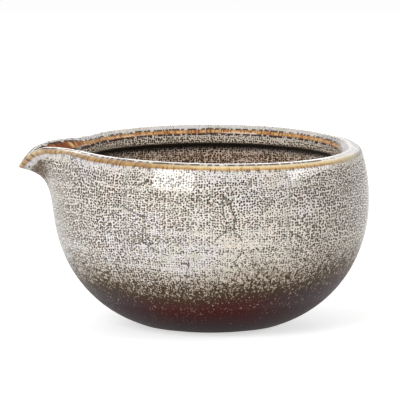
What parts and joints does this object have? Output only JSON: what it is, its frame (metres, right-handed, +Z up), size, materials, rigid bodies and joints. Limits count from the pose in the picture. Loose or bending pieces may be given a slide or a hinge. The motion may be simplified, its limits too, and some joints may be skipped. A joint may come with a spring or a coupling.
{
  "type": "tea bowl",
  "caption": "Round glazed stoneware tea bowl with a thick rounded lip, a short pinched pouring spout and a low unglazed foot ring.",
  "frame": {"origin": "on the standing surface, under the middle of the bowl's length and width, spout included; the axis of the round body is 7.1 mm along +X from it", "axes": "+Z up, out of the bowl; the spout points to -X, and +Y is the side away from the picture's camera"},
  "size_m": [0.145, 0.1306, 0.0759],
  "materials": {
    "stoneware_clay": "matt",
    "bare_foot_clay": "matt, smoothed where it stands",
    "iron_glaze": "glossy",
    "speckled_ash_glaze": "glossy, finely speckled",
    "amber_edge_glaze": "glossy",
    "lip_ash_glaze": "glossy, finely speckled",
    "inside_ash_glaze": "glossy, finely speckled"
  },
  "bodies": {
    "root": {"bowl_body": "stoneware_clay", "pouring_spout": "stoneware_clay", "foot_ring": "bare_foot_clay", "iron_glaze": "iron_glaze", "wall_glaze": "speckled_ash_glaze", "outer_edge_line": "amber_edge_glaze", "lip_glaze": "lip_ash_glaze", "inner_edge_line": "amber_edge_glaze", "inside_glaze": "inside_ash_glaze"}
  },
  "joints": []
}
